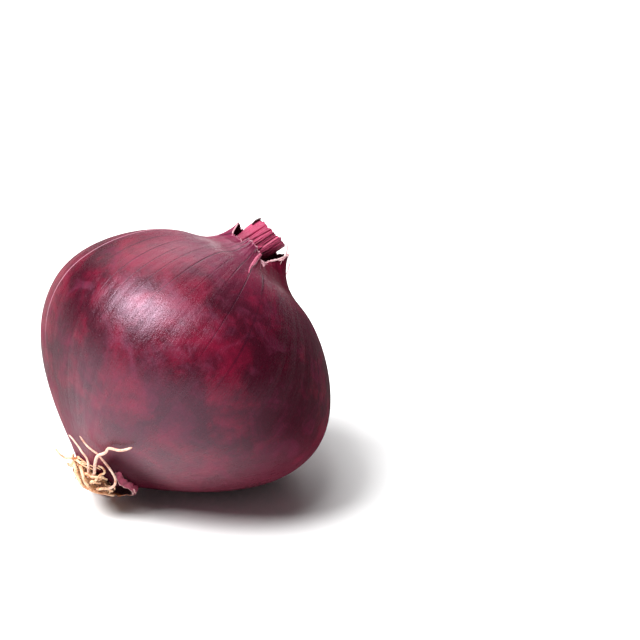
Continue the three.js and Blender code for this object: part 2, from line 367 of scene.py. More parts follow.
def outerSkin(form, angle):
    # the outline turned round the axis. Rows above the collar's foot are spread so that the last
    # one is the rim. Folds gather towards the neck, low swells wander over the globe, and between
    # veins the skin stands up by veinRidge |cos|^0.5.
    radius, height, length = (values[:, None] for values in skinProfile(form))
    foot = form["collarHeight"] - form["collarDepth"] + 0.5
    share = np.clip((height - foot) / (form["collarHeight"] - foot), 0, None)
    z = np.where(height > foot, foot + share * (rimHeight(form, angle) - foot), height)
    toNeck = smooth(form["foldsFrom"], form["foldsFull"], height)
    folds, swells = ripples(angle, z, *form["folds"]), ripples(angle, z, *form["swells"])
    phase = form["veins"] / 2 * (angle + ripples(angle, z, *form["veinWarp"]))
    veinSide = np.sin(phase) * radius * 2 / form["veins"]
    ridge = np.abs(np.cos(phase)) ** 0.5 - 0.7
    body = smooth(form["swellsFrom"], form["swellsFull"], height)
    bulge = (swells * (1 - toNeck) + form["veinRidge"] * ridge) * body
    return radius + folds * toNeck + bulge, z, veinSide, length


def collarLining(form, radius, z):
    # over the rim, straight down the inside and across the floor of the collar to the axis
    lipRadius = radius[-1:] - form["collarWall"] * np.array(form["lipIn"])[:, None]
    lipZ = z[-1:] + np.array(form["lipUp"])[:, None]
    down = np.linspace(0, 1, form["liningRows"])[1:, None]
    floorZ = form["collarHeight"] - form["collarDepth"]
    wallRadius = lipRadius[-1:] + 0 * down
    wallZ = lipZ[-1:] * (1 - down) + floorZ * down
    floorRadius = wallRadius[-1:] * np.linspace(1, form["floorHole"], form["floorRows"])[1:, None]
    floorLevel = floorZ + 0 * floorRadius
    return np.vstack([lipRadius, wallRadius, floorRadius]), np.vstack([lipZ, wallZ, floorLevel])


def arc(turn, bounds):
    # 1 between the middle two of four angles and 0 outside the other two
    start, full, fade, end = bounds
    return smooth(start, full, turn) * (1 - smooth(fade, end, turn))


def skinFacts(form, angle, radius, z, veinSide, length):
    # what the finish needs to know of each point: the rows after the outside's are the lining
    outside, lining = len(length), len(z) - len(length)
    none = np.zeros_like(z)
    turn = degreesRound(angle)
    along = np.vstack([length + 0 * angle, np.full((lining, angle.size), length[-1, 0])])
    veinSide = np.vstack([veinSide, np.ones((lining, angle.size))])
    inside = none + (np.arange(len(z)) >= outside + 2)[:, None]
    # the bare patch is where the outer skin has torn off the neck; the painted shadow is shade painted on
    # the skin by the roots, where the root flap shades the bulb
    bare = arc(turn, form["bareArc"]) * smooth(*form["bareHeight"], z)
    dried = arc(turn, form["driedArc"]) * (1 - smooth(*form["driedHeight"], z))
    # millimetres from a pale line that is a painted highlight along the skin
    highlightTurn = form["highlightLineAt"] + 3 * np.sin(z / 17) + 1.2 * np.sin(z / 6)
    highlightLine = np.radians(turn - highlightTurn) * np.maximum(radius, 1)
    return {
        "skinHighlightLine": np.stack([highlightLine, none, none], -1)[None],
        "skinPlace": np.stack([np.cos(angle) + none, np.sin(angle) + none, along], -1)[None],
        "skinEdges": np.stack([inside, rimHeight(form, angle) - z, z], -1)[None],
        "skinMarksAndShadow": np.stack([veinSide, bare + none, dried], -1)[None],
    }


def makeBulb(form):
    # the outside and the lining, swayed off the axis by the square of the height. The belly is
    # pressed flat where it rests: a height h becomes soft ln(1 + e^(h / soft)).
    angle = np.linspace(0, 2 * np.pi, form["columns"], endpoint=False)[None, :]
    outerRadius, outerZ, veinSide, length = outerSkin(form, angle)
    liningRadius, liningZ = collarLining(form, outerRadius, outerZ)
    radius, z = np.vstack([outerRadius, liningRadius]), np.vstack([outerZ, liningZ])
    lean = np.where(z < 0, z / form["rootDepth"], z / form["collarHeight"])
    sway = -np.where(z < 0, form["rootSway"], form["neckSway"]) * lean**2
    points = place(np.stack([radius * np.cos(angle) + sway, radius * np.sin(angle), z], -1))
    soft = lie["restSoftness"] * millimetre
    points[..., 2] = soft * np.logaddexp(0, points[..., 2] / soft)
    facts = skinFacts(form, angle, radius, z, veinSide, length)
    return meshFromGrid("onionSkin", points[None], attributes=facts)


skinLook = {
    "deep": srgb(54, 3, 20), "crimson": srgb(108, 8, 38), "cloud": srgb(112, 34, 66),
    # reflectedMauve is the colour of a painted reflection of the floor
    "neckPink": srgb(132, 40, 76), "reflectedMauve": srgb(126, 48, 68), "vein": srgb(40, 3, 20),
    # dried is near-black painted shade for the skin that the root flap shades
    # highlightLine is the pale colour of a painted highlight
    "highlightLine": srgb(206, 150, 168), "under": srgb(84, 12, 32), "dried": srgb(48, 2, 16),
    # the inside colour is the collar's inner skin darkened with painted shade
    "inside": srgb(46, 10, 22), "tornEdge": srgb(222, 168, 178),
    # pattern sizes in millimetres
    "blotchSize": 17, "cloudSize": 9, "mottleSize": 4.5, "fraySize": 2.2, "fleckSize": 1.1,
    "grainSize": 0.75,
    # patterns that run along the skin: how often they change round it and along it
    "panels": (5, 5, 0.01), "streaks": (26, 26, 0.03), "fibres": (70, 70, 0.35),
    "veinGroups": (3, 3, 0.02),
    "floorReflection": 0.55, "floorReflectionHeight": (8, 36),  # a painted reflection of the pale floor, and the heights above the floor it fades over
    "grainDepth": 0.065, "fibreDepth": 0.05, "streakDepth": 0.05, "veinDepth": 0.06,
    "sheen": (1.0, 0.68, 0.88, 1.0), "gloss": 0.68, "roughness": 0.34,
    # how much of the gloss is gone: on the +x side and by the roots, where it helps the painted shade, on
    # the -x edge, and in the collar, where it keeps the painted shade of the hollow dark
    "dullShadedSide": 0.93, "dullEdge": 0.75, "dullInsideShade": 0.9, "dullPaintedShadow": 0.8,
}


def ripeColour(graph, look, noises, side, height):
    # deep to crimson by a weighted sum of patterns, a little darker on the +x side as painted shade,
    # clouded and flecked; mauve low down as a painted reflection of the floor, and pinker towards the neck
    here, streaks = graph.millimetres(), noises["streaks"]
    blotch = graph.noise(here, look["blotchSize"], 4, 0.62, 0.6)
    mottle = graph.noise(here, look["mottleSize"], 5, 0.65, 0.5)
    panels = graph.noise(graph.stretch(graph.attribute("skinPlace"), look["panels"]), 1, 2, 0.5)
    # the side term makes the +x side a little darker: painted shade
    ripe = blotch * 0.6 + mottle * 0.25 + panels * 0.15 - 0.035 * side
    colour = graph.mix(graph.between(ripe, 0.43, 0.65), look["deep"], look["crimson"])
    colour = graph.mix(noises["cloudy"] * (0.12 + 0.3 * streaks), colour, look["cloud"])
    colour = graph.mix(graph.between(noises["fleck"], 0.55, 0.75) * 0.2, colour, look["crimson"])
    # painted reflection of the floor: mauve over the lower skin, fading with height
    aboveFloor = graph.parts(here)[2] + 16 * (blotch - 0.5) + 5 * side
    floorReflection = 1 - graph.between(aboveFloor, *look["floorReflectionHeight"])
    colour = graph.mix(floorReflection * look["floorReflection"], colour, look["reflectedMauve"])
    toNeck = graph.between(height, 12, 34)
    # the +x side gets less of the neck's pink: painted shade
    pinkLessInShade = 1 - 0.65 * graph.between(side, -0.3, 0.7)
    return graph.mix(toNeck * (0.3 + 0.5 * streaks) * pinkLessInShade, colour, look["neckPink"])


def veinLines(graph, look, veinSide, height):
    # 1 on a vein and 0 from 0.3 mm beside it, where a slow pattern lets it show; veins grow
    # stronger towards the neck
    groups = graph.noise(graph.stretch(graph.attribute("skinPlace"), look["veinGroups"]), 1, 2)
    strength = graph.between(height, -12, 22) * 0.75 + 0.15
    return (1 - graph.between(abs(veinSide), 0.05, 0.3)) * graph.between(groups, 0.4, 0.6) * strength


def tornColour(graph, look, noises, colour, inside, belowRim):
    # the dark inside of the collar, partly its inner skin's own colour and partly painted shade of the
    # hollow, and a pale frayed line along its torn edge
    colour = graph.mix(inside, colour, look["inside"])
    frayed = graph.between(graph.noise(graph.millimetres(), look["fraySize"], 3, 0.6), 0.4, 0.6)
    edge = (1 - graph.between(belowRim + 0.35 * noises["fleck"], 0.15, 0.4)) * (1 - inside)
    return graph.mix(edge * (0.1 + 0.85 * frayed), colour, look["tornEdge"])


def skinMaterial(look):
    # a glossy and a matt surface of the same colour, mixed by how much of the gloss is gone
    graph = Graph("onion skin")
    here, around = graph.millimetres(), graph.attribute("skinPlace")
    inside, belowRim, height = graph.parts(graph.attribute("skinEdges"))
    veinSide, bare, dried = graph.parts(graph.attribute("skinMarksAndShadow"))
    highlightLine = graph.parts(graph.attribute("skinHighlightLine"))[0]
    side = graph.parts(around)[0]  # 1 on the +x side, which is made darker and duller as painted shade
    noises = {
        "fleck": graph.noise(here, look["fleckSize"], 3, 0.6, 1.0),
        "cloudy": graph.between(graph.noise(here, look["cloudSize"], 5, 0.6, 1.2), 0.46, 0.68),
        "streaks": graph.noise(graph.stretch(around, look["streaks"]), 1, 3, 0.6),
        "fibre": graph.noise(graph.stretch(around, look["fibres"]), 1, 3, 0.7, 0.6),
    }

    vein = veinLines(graph, look, veinSide, height)
    # painted highlight: a pale line along the skin, faded out low down
    highlightShare = (1 - graph.between(abs(highlightLine), 0.1, 0.45)) * graph.between(height, -20, -8)
    colour = ripeColour(graph, look, noises, side, height)
    colour = graph.mix(vein, colour, look["vein"])
    colour = graph.mix(highlightShare * (0.25 + 0.5 * noises["streaks"]), colour, look["highlightLine"])
    colour = graph.mix(bare * 0.8, colour, look["under"])
    # painted shadow: the skin by the root flap is darkened where the flap shades it
    colour = graph.mix(dried * 0.9, colour, look["dried"])
    colour = tornColour(graph, look, noises, colour, inside, belowRim)

    roughness = look["roughness"] + 0.14 * (noises["cloudy"] - 0.3) + 0.25 * (noises["fibre"] - 0.5)
    normal = graph.bump(graph.noise(here, look["grainSize"], 4, 0.7, 1.6), look["grainDepth"])
    normal = graph.bump(noises["fibre"], look["fibreDepth"], normal)
    normal = graph.bump(noises["streaks"], look["streakDepth"], normal)
    normal = graph.bump(1 - vein, look["veinDepth"], normal)
    shine = {"Specular Tint": look["sheen"], "Specular IOR Level": look["gloss"]}
    glossy = graph.surface(colour, roughness, normal, shine)
    matt = graph.surface(colour, roughness, normal, {"Specular IOR Level": 0.0})
    # painted shade: the +x side loses most of its gloss
    dulled = graph.between(side, -0.1, 0.8) * look["dullShadedSide"] * graph.between(height, -30, 0)
    dulled = dulled + look["dullEdge"] * (1 - graph.between(side, -1.0, -0.5))
    # the collar's inside and the painted shadow by the roots lose their gloss too, which keeps this painted
    # shade dark
    dulled = dulled + inside * look["dullInsideShade"] + dried * look["dullPaintedShadow"]
    return graph.finish(graph.node("ShaderNodeMixShader", None, {0: dulled, 1: glossy, 2: matt}))


adopt(makeBulb(bulbForm), skinMaterial(skinLook), "skin", "bulb")
print("bulb made")

# The dried leaf bases in the collar
stubForm = {
    "foot": (-3.5, 0.4, 33.9), "lean": 23,  # where it stands and how it leans towards +x
    "length": 8.5, "halfWidth": 4.4, "halfThickness": 3.5,
    "slant": 0.8,  # how much longer its +x side is
    # cracks between the leaf bases: degrees round the stub, width in degrees, depth in mm
    "cracks": [(-152, 2.5, 0.25), (-124, 3.5, 0.75), (-101, 3, 0.55), (-86, 2.5, 0.3), (-60, 3, 0.5),
               (-38, 4, 0.6), (-8, 5, 0.7), (28, 5, 0.8), (62, 5, 0.9), (96, 5, 0.8), (132, 5, 0.8),
               (170, 5, 0.7)],
    "crackSeed": 4, "wander": 5,  # how far a crack strays on its way up, in degrees
    "sunken": (-73, 22, 0.5),  # a broken leaf base: middle and width in degrees, depth
    "wrinkles": [(16, 27, 45), (0.05, 0.05, 0.04), 1.5, 9],
    "ragged": [(4, 9, 17, 37), (0.1, 0.12, 0.12, 0.1), 0, 6],
    "layerDepth": 0.45, "layerTurns": 22, "cutSink": 0.5,  # the leaf layers in the cut end
    "columns": 260, "rows": 70, "cutRows": 26,
}


def fromStub(form, points):
    # the stub's own frame, z along it, into the onion's
    lean = math.radians(form["lean"])
    x, y, z = np.moveaxis(points, -1, 0)
    across = x * math.cos(lean) + z * math.sin(lean)
    along = z * math.cos(lean) - x * math.sin(lean)
    return np.stack([across, y, along], -1) + np.array(form["foot"])


def leafBaseCracks(form, turn, share):
    # how deep the cracks are, each depth fade (1 - away / width)^0.7, and the step in height,
    # drawn at random, from each leaf base to the next
    crack = np.zeros((form["rows"], form["columns"]))
    step = np.zeros((1, form["columns"]))
    rng = np.random.default_rng(form["crackSeed"])
    for where, width, depth in form["cracks"]:
        middle = where + form["wander"] * np.sin(rng.uniform(0, anyPhase) + 2.5 * share) * share
        away = np.abs((turn - middle + 180) % 360 - 180)
        fade = 0.35 + 0.65 * np.sin(np.pi * np.clip(0.15 + share * rng.uniform(0.6, 1.1), 0, 1))
        crack = np.maximum(crack, depth * fade * np.clip(1 - away / width, 0, 1) ** 0.7)
        step = step + rng.uniform(-0.3, 0.3) * smooth(where - 2, where + 2, turn)
    return crack, step


def sunkenBase(form, turn, share):
    # a leaf base that has broken off: full depth across its width, from a slanting break upwards
    middle, width, depth = form["sunken"]
    start = 0.3 + 0.012 * (turn - middle)
    return depth * smooth(1.1, 0.9, np.abs(turn - middle) / width * 2) * smooth(0, 0.06, share - start)


def cutEnd(form, angle, edge, slanted):
    # the cut closes in from its edge to the middle; its height is a cosine of the way in, which
    # makes the leaf layers, and fades to the edge's own height
    inward = np.linspace(1, 0.02, form["cutRows"])[1:, None] ** 0.9
    turns = inward * form["layerTurns"] + 1.5 * np.sin(2 * angle)
    layers = form["layerDepth"] * np.cos(turns) - form["layerDepth"]
    height = edge * inward**0.5 + form["length"] * (1 - inward**0.5)
    height = height + layers * (1 - inward**6) - form["cutSink"]
    return inward, height + slanted * (inward - inward**0.5), layers


def makeStub(form):
    # an oval column (a r cos t, b r sin t) whose r is 1 less its cracks, plus its wrinkles and
    # steps, under a cut end that is a stack of layers
    angle = np.linspace(-np.pi, np.pi, form["columns"], endpoint=False)[None, :]
    share = np.linspace(0, 1, form["rows"])[:, None]
    turn = np.degrees(angle)
    crack, step = leafBaseCracks(form, turn, share)
    wrinkle = ripples(angle, share, *form["wrinkles"])
    sunken = sunkenBase(form, turn, share)
    dents = crack + sunken - wrinkle - 0.5 * step * smooth(0, 0.6, share)
    radial = 1 - dents / form["halfWidth"]
    x = form["halfWidth"] * radial * np.cos(angle)
    y = form["halfThickness"] * radial * np.sin(angle)
    ragged = ripples(angle, 0, *form["ragged"]) + 0.4 * step
    slanted = form["slant"] * np.cos(angle)
    side = share * (form["length"] + ragged + slanted)
    inward, cutHeight, layers = cutEnd(form, angle, side[-1:], slanted)
    x, y = np.vstack([x, x[-1:] * inward]), np.vstack([y, y[-1:] * inward])
    height = np.vstack([side, cutHeight])
    cut = np.vstack([np.zeros_like(side), np.ones_like(cutHeight)])
    depthIn = np.vstack([1.2 * crack + 0.5 * sunken, np.clip(-layers, 0, 1) + 0 * cutHeight])
    around = [np.cos(angle) + 0 * cut, np.sin(angle) + 0 * cut, height]
    return meshFromGrid("leafBases", place(fromStub(form, np.stack([x, y, height], -1)))[None], attributes={
        "stubFacts": np.stack([cut, depthIn, height], -1)[None],
        "stubPlace": np.stack(around, -1)[None],
    })


stubLook = {
    "pink": srgb(176, 48, 92), "rose": srgb(150, 40, 78), "crack": srgb(40, 4, 18),
    "foot": srgb(110, 20, 50), "cut": srgb(150, 60, 82),
    "fibres": (14, 14, 0.25), "grainSize": 0.8, "fibreDepth": 0.3, "grainDepth": 0.12,
    "roughness": 0.55,
}


def stubMaterial(look):
    # rose and pink in long fibres, darker at the foot, with near-black cracks
    graph = Graph("dried leaf bases")
    cut, crack, height = graph.parts(graph.attribute("stubFacts"))
    fibre = graph.noise(graph.stretch(graph.attribute("stubPlace"), look["fibres"]), 1, 4, 0.65)
    grain = graph.noise(graph.millimetres(), look["grainSize"], 4, 0.7)
    colour = graph.mix(graph.between(fibre, 0.35, 0.65), look["rose"], look["pink"])
    colour = graph.mix((1 - graph.between(height, 1, 5)) * 0.6, colour, look["foot"])
    colour = graph.mix(cut * 0.7, colour, look["cut"])
    cracked = graph.between(crack + 0.4 * (fibre - 0.5), 0.35, 0.95)
    colour = graph.mix(cracked, colour, look["crack"])
    normal = graph.bump(fibre, look["fibreDepth"])
    normal = graph.bump(grain, look["grainDepth"], normal)
    return graph.finish(graph.surface(colour, look["roughness"] + 0.2 * (grain - 0.5), normal))


def grainyMaterial(name, size, shades, depth, roughness, spread=None, detail=4, broken=0.65):
    # two colours mixed by one grain, which also makes the bumps; spread sharpens the mixture
    graph = Graph(name)
    grain = graph.noise(graph.millimetres(), size, detail, broken)
    share = graph.between(grain, *spread) if spread else grain
    colour = graph.mix(share, *shades)
    return graph.finish(graph.surface(colour, roughness, graph.bump(grain, depth)))


adopt(makeStub(stubForm), stubMaterial(stubLook), "dry_leaf", "neck_stub")

flakeForm = {
    "middle": (-4.75, 0.2, 6.9), "length": 2.7, "width": 1.8, "thickness": 0.45,  # in the stub's frame
    "rows": 40, "columns": 32,
}


def makeFlake(form):
    # a thin leaf sliver, bowed across and ragged at its tip, lying along the stub's upper edge: its
    # width goes as sin(s)^0.4 along it and its section is a flattened oval
    share = np.linspace(0, 1, form["rows"])[:, None]
    turn = np.linspace(0, 2 * np.pi, form["columns"], endpoint=False)[None, :]
    taper = np.sin(np.pi * (0.08 + 0.84 * share)) ** 0.4
    across = 0.5 * form["width"] * taper * np.cos(turn) * (1 + 0.12 * np.sin(19 * share))
    through = 0.5 * form["thickness"] * np.sin(turn) * np.abs(np.sin(turn)) ** 0.2
    x = through - 0.12 * across**2 - 0.35 * np.sin(3 * share)
    z = (share - 0.5) * form["length"] + 0.25 * np.sin(5 * across)
    points = np.stack([x, across, z + 0 * turn], -1) + np.array(form["middle"])
    return meshFromGrid("darkSliver", place(fromStub(stubForm, points))[None])


sliverShades = (srgb(38, 8, 20), srgb(96, 34, 52))
darkSliver = grainyMaterial("dark sliver", 0.9, sliverShades, depth=0.2, roughness=0.6, broken=0.7)
adopt(makeFlake(flakeForm), darkSliver, "dark_flake", "stub_flake")
print("leaf bases made")

# The curled edge of the tear
foldForm = {
    # degrees about the axis and height down the front of the neck
    "route": [(-82.5, 33.7), (-84.5, 32.1), (-85.5, 30.5), (-87, 28.8), (-87.5, 27.1), (-87, 26.0)],
    "lift": 0.25, "radius": 0.72, "tipShare": 0.35, "knob": 0.05, "seed": 2,
    "flatten": (1.0, 0.75, 0.75), "rows": 70, "sides": 20,
}


def onSkin(angle, height, lift):
    # the point of the skin at an angle and a height, raised by lift
    radius, z, _ = skinProfile(bulbForm)
    wide = np.interp(height, z, radius) + lift
    sway = bulbForm["neckSway"] * (height / bulbForm["collarHeight"]) ** 2
    return np.stack([wide * np.cos(angle) - sway, wide * np.sin(angle), height], -1)


def makeFold(form):
    # a tube along the tear, thickest a little above its middle and pressed thinner across
    turn, height = np.array(form["route"], float).T
    line = smoothLine(onSkin(np.radians(turn), height, form["lift"]), form["rows"])
    share = np.linspace(0, 1, form["rows"])
    swell = 0.55 + 0.45 * np.sin(np.pi * np.clip(share * 1.25, 0, 1))
    rng = np.random.default_rng(form["seed"])
    radius = knobbly(share, form["radius"], form["tipShare"], form["knob"], rng) * swell
    grid = tubeGrid(line[None], radius[None], form["sides"])
    middle = line[None, :, None, :]
    return meshFromGrid("curledEdge", place(middle + (grid - middle) * np.array(form["flatten"])))


foldShades = (srgb(140, 48, 78), srgb(206, 104, 132))
curledEdge = grainyMaterial("curled edge", 1.2, foldShades, depth=0.15, roughness=0.5, spread=(0.35, 0.7))
adopt(makeFold(foldForm), curledEdge, "torn_skin", "collar_fold")

# Fibres of torn skin at the rim, and short shreds that stand out of its +x side
threadForm = {
    "routes": {
        "skin_thread_1": [(6.3, -4.5, 37.7), (5.9, -4.7, 39.4), (5.0, -4.7, 41.3), (4.4, -4.6, 43.2)],
        "skin_thread_2": [(8.4, -3.4, 36.9), (8.8, -3.9, 36.0), (9.1, -4.2, 35.0), (9.4, -4.3, 33.8)],
        "skin_thread_3": [(3.9, -9.6, 33.8), (5.1, -8.8, 35.2), (6.2, -7.4, 37.0), (7.2, -5.6, 38.8)],
    },
    "radius": 0.28, "tipShare": 0.45, "knob": 0.12, "rows": 48, "sides": 8, "seed": 30,
}
shredForm = {
    "count": 16, "length": 1.7, "radius": 0.13, "from": -62, "to": -5,  # degrees about the axis
    "rows": 14, "sides": 6, "seed": 14,
}


def makeThreads(form, finish):
    # a knobbly tube along each route
    share = np.linspace(0, 1, form["rows"])
    for number, (node, route) in enumerate(form["routes"].items()):
        rng = np.random.default_rng(form["seed"] + number)
        radius = knobbly(share, form["radius"], form["tipShare"], form["knob"], rng)
        grid = tubeGrid(smoothLine(route, form["rows"])[None], radius[None], form["sides"])
        adopt(meshFromGrid(f"tornFibre{number + 1}", place(grid)), finish, "fibre", node)


def makeShreds(form, finish):
    # each is a thin tube from the rim along heading s + bend s^2
    rng = np.random.default_rng(form["seed"])
    count = form["count"]
    angle = np.radians(rng.uniform(form["from"], form["to"], count))
    rim = bulbForm["collarRadius"] - 0.2
    x = rim * np.cos(angle) - bulbForm["neckSway"]
    foot = np.stack([x, rim * np.sin(angle), rimHeight(bulbForm, angle)], -1)
    heading = np.stack([np.cos(angle), np.sin(angle), rng.uniform(-0.2, 1.2, count)], -1)
    heading = unit(heading + rng.normal(0, 0.45, (count, 3)))
    bend = rng.normal(0, 0.5, (count, 3))
    reach = form["length"] * rng.uniform(0.4, 1, count)[:, None, None]
    s = np.linspace(0, 1, form["rows"])[None, :, None]
    lines = foot[:, None] + reach * (heading[:, None] * s + bend[:, None] * s**2)
    radius = form["radius"] * (1 - 0.7 * s[..., 0]) * rng.uniform(0.6, 1.2, (count, 1))
    adopt(meshFromGrid("rimShreds", place(tubeGrid(lines, radius, form["sides"]))), finish, "fibre")


fibreShades = (srgb(196, 136, 146), srgb(244, 214, 214))
tornFibre = grainyMaterial("torn fibres", 1.5, fibreShades, depth=0.1, roughness=0.6, detail=3, broken=0.5)
makeThreads(threadForm, tornFibre)
makeShreds(shredForm, tornFibre)
print("torn rim made")

# The root plate, in the crown's frame as the rest of the root end is
plateForm = {
    "radius": 6.2, "depth": 4.0, "gap": 0.3, "rise": 0.2,
    "lumps": [(3, 5, 8, 13), (0.25, 0.25, 0.2, 0.15), 0.8, 17],
    "dips": [(2, 4, 7), (0.3, 0.25, 0.2), 0.8, 19],
    "columns": 160, "rows": 60, "backRows": 20,
}
plateLook = {
    "light": srgb(196, 142, 98), "dark": srgb(96, 50, 34), "pit": srgb(70, 34, 26),
    "patchSize": 2.2, "pitsPerMillimetre": 0.9, "pitDepth": 0.7, "speckDepth": 0.3, "roughness": 0.85,
}


def rootColour(graph, light, dark, size):
    # straw with darker, warmer patches
    here = graph.millimetres()
    patch = graph.noise(here, size, 4, 0.6)
    speck = graph.noise(here, size / 6, 3, 0.6)
    return graph.mix(graph.between(patch * 0.7 + speck * 0.3, 0.36, 0.6), dark, light), speck


def plateMaterial(look):
    # cork with a dark pit at each cell's middle
    graph = Graph("root plate")
    colour, speck = rootColour(graph, look["light"], look["dark"], look["patchSize"])
    cells = {"Vector": graph.millimetres(), "Scale": look["pitsPerMillimetre"]}
    pits = graph.node("ShaderNodeTexVoronoi", None, cells)
    colour = graph.mix((1 - graph.between(pits, 0.1, 0.5)) * 0.6, colour, look["pit"])
    normal = graph.bump(speck, look["speckDepth"], graph.bump(pits, look["pitDepth"]))
    return graph.finish(graph.surface(colour, look["roughness"], normal))


def makePlate(form):
    # a low dome that faces away from the bulb, lumpy where roots have grown: two bezier curves
    # turned round the axis, with waves on the radius and, on the face, on the height
    deep, wide, rise = form["depth"], form["radius"], form["rise"]
    foot = -deep - form["gap"]
    face = bezier((0.02, foot), (0.6 * wide, foot), (wide, -0.75 * deep), (wide, -0.3 * deep), form["rows"])
    back = bezier((wide, -0.3 * deep), (wide, -0.2 * deep), (0.5 * wide, rise), (0.02, rise),
                  form["backRows"])
    line = np.vstack([face, back[1:]])
    radius, z = line[:, :1], line[:, 1:]
    angle = np.linspace(0, 2 * np.pi, form["columns"], endpoint=False)[None, :]
    radius = radius + ripples(angle, z * 2, *form["lumps"]) * radius / wide
    dip = ripples(angle, radius, *form["dips"]) * smooth(0.5, 4, radius)
    z = z + dip * (z < -0.3 * deep)
    points = np.stack([radius * np.cos(angle), radius * np.sin(angle), z + 0 * angle], -1)
    return meshFromGrid("rootCork", place(points, crown=True)[None])


adopt(makePlate(plateForm), plateMaterial(plateLook), "root_plate", "root_plate")

# The torn skirt of skin round the plate
skirtForm = {
    "topRadius": 11.2, "footRadius": 9.5, "wall": 0.45, "top": 2.7,
    # its torn foot: degrees about the axis and height
    "foot": [(-66, 1.6), (-48, -0.2), (-28, 0.3), (-8, 0.1), (12, -0.6), (45, -2.0), (65, -3.1),
             (100, -3.9)],
    "footTears": [(9, 17, 31, 53), (0.1, 0.1, 0.06, 0.03), 0, 23],
    "topTears": [(7, 15, 27, 45), (0.25, 0.2, 0.15, 0.1), 0, 24],
    "creases": [(8, 13, 22, 34), (0.08, 0.06, 0.03, 0.02), 1.2, 25],
    "flareAt": -8, "flareWidth": 26, "flare": 1.4,
    "curlOut": 0.7, "curlUp": 0.5, "curlLip": 0.9,
    "rows": 190, "columns": 64,
}
skirtLook = {
    # the lining colours are painted shade for the flap's shaded inside
    "skin": (srgb(112, 22, 50), srgb(156, 52, 82)), "lining": (srgb(34, 10, 18), srgb(90, 40, 48)),
    "tornEdge": (srgb(240, 190, 186), srgb(206, 132, 88)),  # where it starts and where it ends
    "grainSize": 1.4, "grainDepth": 0.25, "roughness": 0.6,
}


def makeSkirt(form):
    # rows go round the plate; a row's columns go down the outside, under the foot and up inside.
    # The radius eases from top to foot as down^2, with a flare that is a bell curve round the axis
    # and a curl that turns the foot of the first part outwards.
    around = np.linspace(0, 1, form["rows"])[:, None]
    corners = np.array(form["foot"], float)
    turn = corners[0, 0] + (corners[-1, 0] - corners[0, 0]) * around
    half = form["columns"] // 2
    down = np.concatenate([np.linspace(0, 1, half), np.linspace(1, 0, half)])[None, :]
    face = np.concatenate([np.full(half, 0.5), np.full(half, -0.5)])[None, :]
    angle = np.radians(turn) + 0 * down
    foot = np.interp(turn, corners[:, 0], corners[:, 1]) + ripples(angle, 0, *form["footTears"])
    top = form["top"] + ripples(angle, 0, *form["topTears"])
    flare = form["flare"] * np.exp(-(((turn - form["flareAt"]) / form["flareWidth"]) ** 2))
    curl = smooth(0.72, 1, down) * (1 - smooth(0.35, 0.6, around))
    narrowing = (form["footRadius"] - form["topRadius"]) * down**2
    radius = form["topRadius"] + narrowing + flare * down
    wall = form["wall"] * (0.35 + 0.65 * np.sin(np.pi * np.clip(0.1 + 0.8 * around, 0, 1)))
    radius = radius + ripples(angle, down, *form["creases"]) + wall * face + form["curlOut"] * curl
    z = top + (foot - top) * down + form["curlLip"] * curl * (face > 0) + form["curlUp"] * curl
    points = np.stack([radius * np.cos(angle), radius * np.sin(angle), z], -1)
    facts = np.stack([down + 0 * angle, (face < 0) + 0 * angle, around + 0 * angle], -1)
    return meshFromGrid("rootFlap", place(points, crown=True)[None], attributes={"flap": facts[None]})


def skirtMaterial(look):
    # skin outside, dark inside as painted shade of the flap's hollow, and pale along the torn foot, which
    # turns to straw further round
    graph = Graph("root flap")
    down, inner, around = graph.parts(graph.attribute("flap"))
    grain = graph.noise(graph.millimetres(), look["grainSize"], 4, 0.65)
    outside = graph.mix(graph.between(grain, 0.35, 0.65), *look["skin"])
    # painted shade: the flap's inner face takes the dark lining colours
    colour = graph.mix(inner, outside, graph.mix(grain, *look["lining"]))
    tornEdge = graph.mix(graph.between(around, 0.3, 0.6), *look["tornEdge"])
    colour = graph.mix(graph.between(down + 0.1 * (grain - 0.5), 0.8, 0.92), colour, tornEdge)
    return graph.finish(graph.surface(colour, look["roughness"], graph.bump(grain, look["grainDepth"])))


adopt(makeSkirt(skirtForm), skirtMaterial(skirtLook), "torn_skin", "root_skirt")
print("root plate and skirt made")

